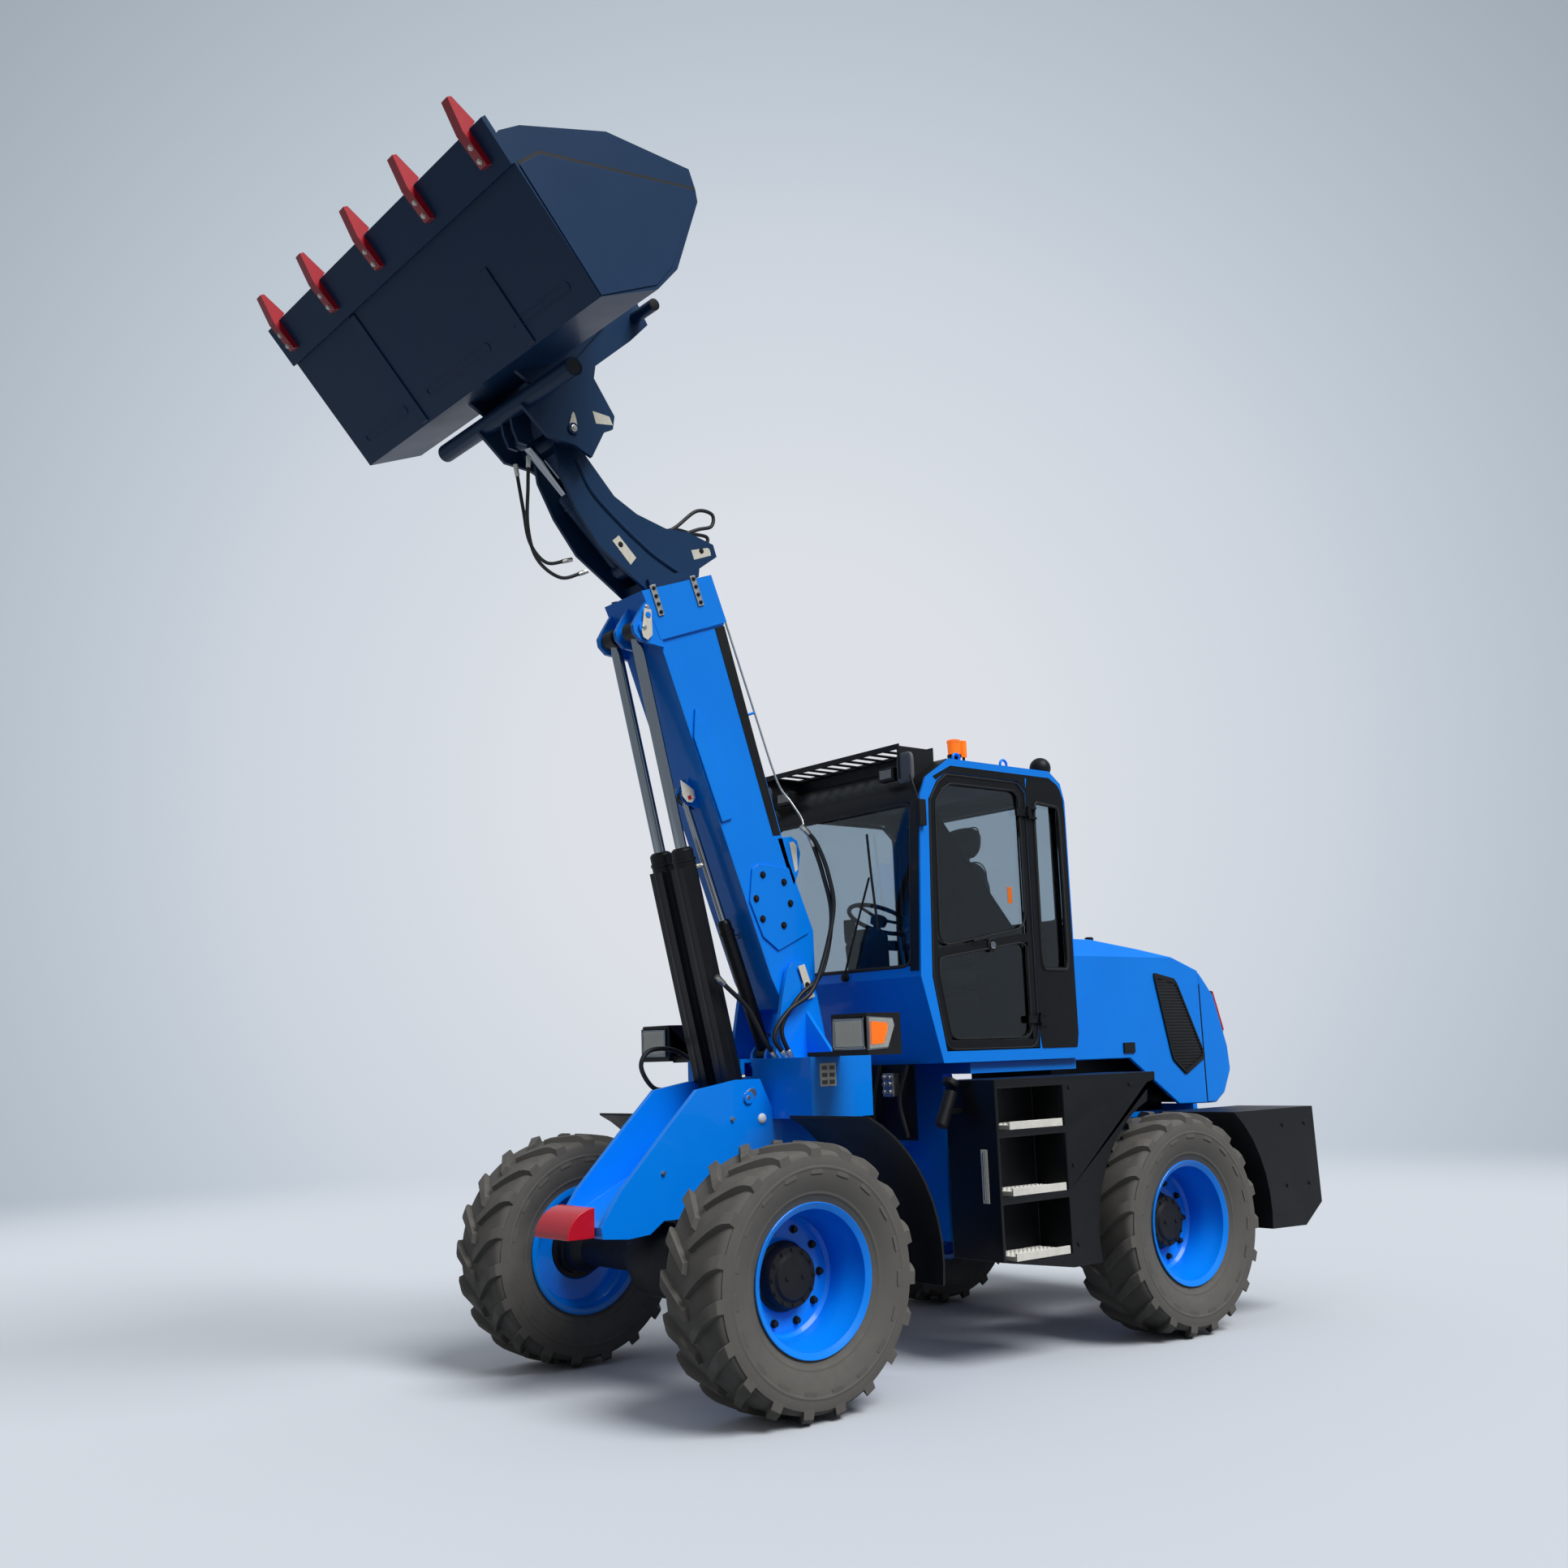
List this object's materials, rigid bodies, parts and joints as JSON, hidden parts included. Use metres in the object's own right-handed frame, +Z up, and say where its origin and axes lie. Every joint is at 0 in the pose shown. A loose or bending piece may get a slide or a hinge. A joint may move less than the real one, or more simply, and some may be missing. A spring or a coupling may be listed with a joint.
{
  "type": "articulated wheel loader with telescopic boom",
  "caption": "Articulated wheel loader with a closed cab, a raised telescopic boom on hydraulic cylinders, and a wide toothed bucket.",
  "frame": {"origin": "on the ground under the middle of the loader's bounding box", "axes": "+X forward, +Y to the loader's left, +Z up"},
  "size_m": [5.6456, 2.36, 5.6072],
  "materials": {
    "blue_paint": "gloss",
    "navy_paint": "satin",
    "black_paint": "satin",
    "red_paint": "gloss",
    "tyre_rubber": "matt",
    "chrome": "mirror",
    "steel": "brushed",
    "clear_glass": "polished",
    "seat_vinyl": "grained",
    "black_plastic": "matt",
    "cast_black": "matt",
    "rubber_hose": "matt"
  },
  "bodies": {
    "rear_frame": {"rear_frame": "blue_paint", "pivot_pin": "steel", "engine_block": "cast_black", "rear_axle": "black_paint", "step_box": "black_paint", "tank_box": "black_paint", "rear_fender_left": "black_plastic", "rear_fender_right": "black_plastic", "counterweight": "cast_black", "hood": "blue_paint", "rear_hood_cap": "blue_paint", "cab_shell": "blue_paint", "quarter_glass": "clear_glass", "side_glass_right": "clear_glass", "windshield_glass": "clear_glass", "rear_glass": "clear_glass", "seat": "seat_vinyl", "steering_console": "black_plastic", "roof_guard": "black_plastic"},
    "front_frame": {"front_frame": "blue_paint", "nose_cap": "red_paint", "front_axle": "black_paint", "front_fender_left": "black_plastic", "front_fender_right": "black_plastic", "headlight_left": "black_plastic", "headlight_right": "black_plastic", "boom_hose_outer": "rubber_hose", "boom_hose_inner": "rubber_hose", "lift_hose": "rubber_hose", "lamp_hose": "rubber_hose"},
    "front_left_wheel": {"front_left_rim": "blue_paint", "front_left_tyre": "tyre_rubber"},
    "front_right_wheel": {"front_right_rim": "blue_paint", "front_right_tyre": "tyre_rubber"},
    "rear_left_wheel": {"rear_left_rim": "blue_paint", "rear_left_tyre": "tyre_rubber"},
    "rear_right_wheel": {"rear_right_rim": "blue_paint", "rear_right_tyre": "tyre_rubber"},
    "cab_door": {"cab_door": "black_paint", "door_glass_upper": "clear_glass", "door_glass_lower": "clear_glass"},
    "boom": {"boom": "blue_paint", "boom_pipes": "steel"},
    "jib": {"boom_jib": "navy_paint"},
    "bucket": {"coupler": "navy_paint", "bucket": "navy_paint", "cutting_edge": "red_paint"},
    "lift_barrels": {"lift_left_barrel": "black_paint", "lift_right_barrel": "black_paint"},
    "lift_rods": {"lift_left_rod": "chrome", "lift_right_rod": "chrome"},
    "level_barrel": {"level_barrel": "black_paint"},
    "level_rod": {"level_rod": "chrome"},
    "tilt_barrel": {"tilt_barrel": "black_paint"},
    "tilt_rod": {"tilt_rod": "chrome"}
  },
  "joints": [
    {"name": "articulation", "type": "hinge", "parent": "rear_frame", "child": "front_frame", "pos_m": [-0.2688, 0, 0.82], "axis": [0, 0, 1], "range_deg": [-27, 27]},
    {"name": "front_left_wheel_spin", "type": "hinge", "parent": "front_frame", "child": "front_left_wheel", "pos_m": [1.0602, 0.927, 0.588], "axis": [0, 1, 0], "continuous": true},
    {"name": "front_right_wheel_spin", "type": "hinge", "parent": "front_frame", "child": "front_right_wheel", "pos_m": [1.0602, -0.927, 0.588], "axis": [0, 1, 0], "continuous": true},
    {"name": "rear_left_wheel_spin", "type": "hinge", "parent": "rear_frame", "child": "rear_left_wheel", "pos_m": [-1.5978, 0.927, 0.588], "axis": [0, 1, 0], "continuous": true},
    {"name": "rear_right_wheel_spin", "type": "hinge", "parent": "rear_frame", "child": "rear_right_wheel", "pos_m": [-1.5978, -0.927, 0.588], "axis": [0, 1, 0], "continuous": true},
    {"name": "cab_door_swing", "type": "hinge", "parent": "rear_frame", "child": "cab_door", "pos_m": [-0.9388, 0.696, 2.28], "axis": [0, 0, 1], "range_deg": [0, 95]},
    {"name": "boom_lift", "type": "hinge", "parent": "front_frame", "child": "boom", "pos_m": [0.3012, 0, 1.9], "axis": [0, -1, 0], "range_deg": [-94, 0]},
    {"name": "boom_extend", "type": "slide", "parent": "boom", "child": "jib", "axis": [0.342, 0, 0.9397], "range_m": [0, 1]},
    {"name": "bucket_tilt", "type": "hinge", "parent": "jib", "child": "bucket", "pos_m": [1.70093, 0, 4.64054], "axis": [0, 1, 0], "range_deg": [-45, 94]},
    {"name": "lift_cylinder_swing", "type": "hinge", "parent": "front_frame", "child": "lift_barrels", "pos_m": [0.7112, 0, 1.35], "axis": [0, -1, 0], "range_deg": [-99.5, 0.5]},
    {"name": "lift_cylinder_stroke", "type": "slide", "parent": "lift_barrels", "child": "lift_rods", "axis": [0.2319, 0, 0.9728], "range_m": [-0.99529, 0.005]},
    {"name": "level_cylinder_swing", "type": "hinge", "parent": "front_frame", "child": "level_barrel", "pos_m": [0.4312, 0, 1.56], "axis": [0, -1, 0], "range_deg": [-93.41, 0.5]},
    {"name": "level_cylinder_stroke", "type": "slide", "parent": "level_barrel", "child": "level_rod", "axis": [0.3464, 0, 0.9381], "range_m": [-0.53701, 0.005]},
    {"name": "tilt_cylinder_swing", "type": "hinge", "parent": "jib", "child": "tilt_barrel", "pos_m": [1.26812, 0, 4.05953], "axis": [0, 1, 0], "range_deg": [-4.31, 2.32]},
    {"name": "tilt_cylinder_stroke", "type": "slide", "parent": "tilt_barrel", "child": "tilt_rod", "axis": [0.7236, 0, 0.6903], "range_m": [-0.22268, 0.10921]}
  ],
  "couplings": [
    {"joint": "lift_cylinder_swing", "follows": "boom_lift", "ratio": 1.0532},
    {"joint": "lift_cylinder_stroke", "follows": "boom_lift", "m_per_rad": 0.60361},
    {"joint": "level_cylinder_swing", "follows": "boom_lift", "ratio": 0.98835},
    {"joint": "level_cylinder_stroke", "follows": "boom_lift", "m_per_rad": 0.32427},
    {"joint": "tilt_cylinder_swing", "follows": "bucket_tilt", "ratio": -0.040532},
    {"joint": "tilt_cylinder_stroke", "follows": "bucket_tilt", "m_per_rad": -0.13268}
  ]
}
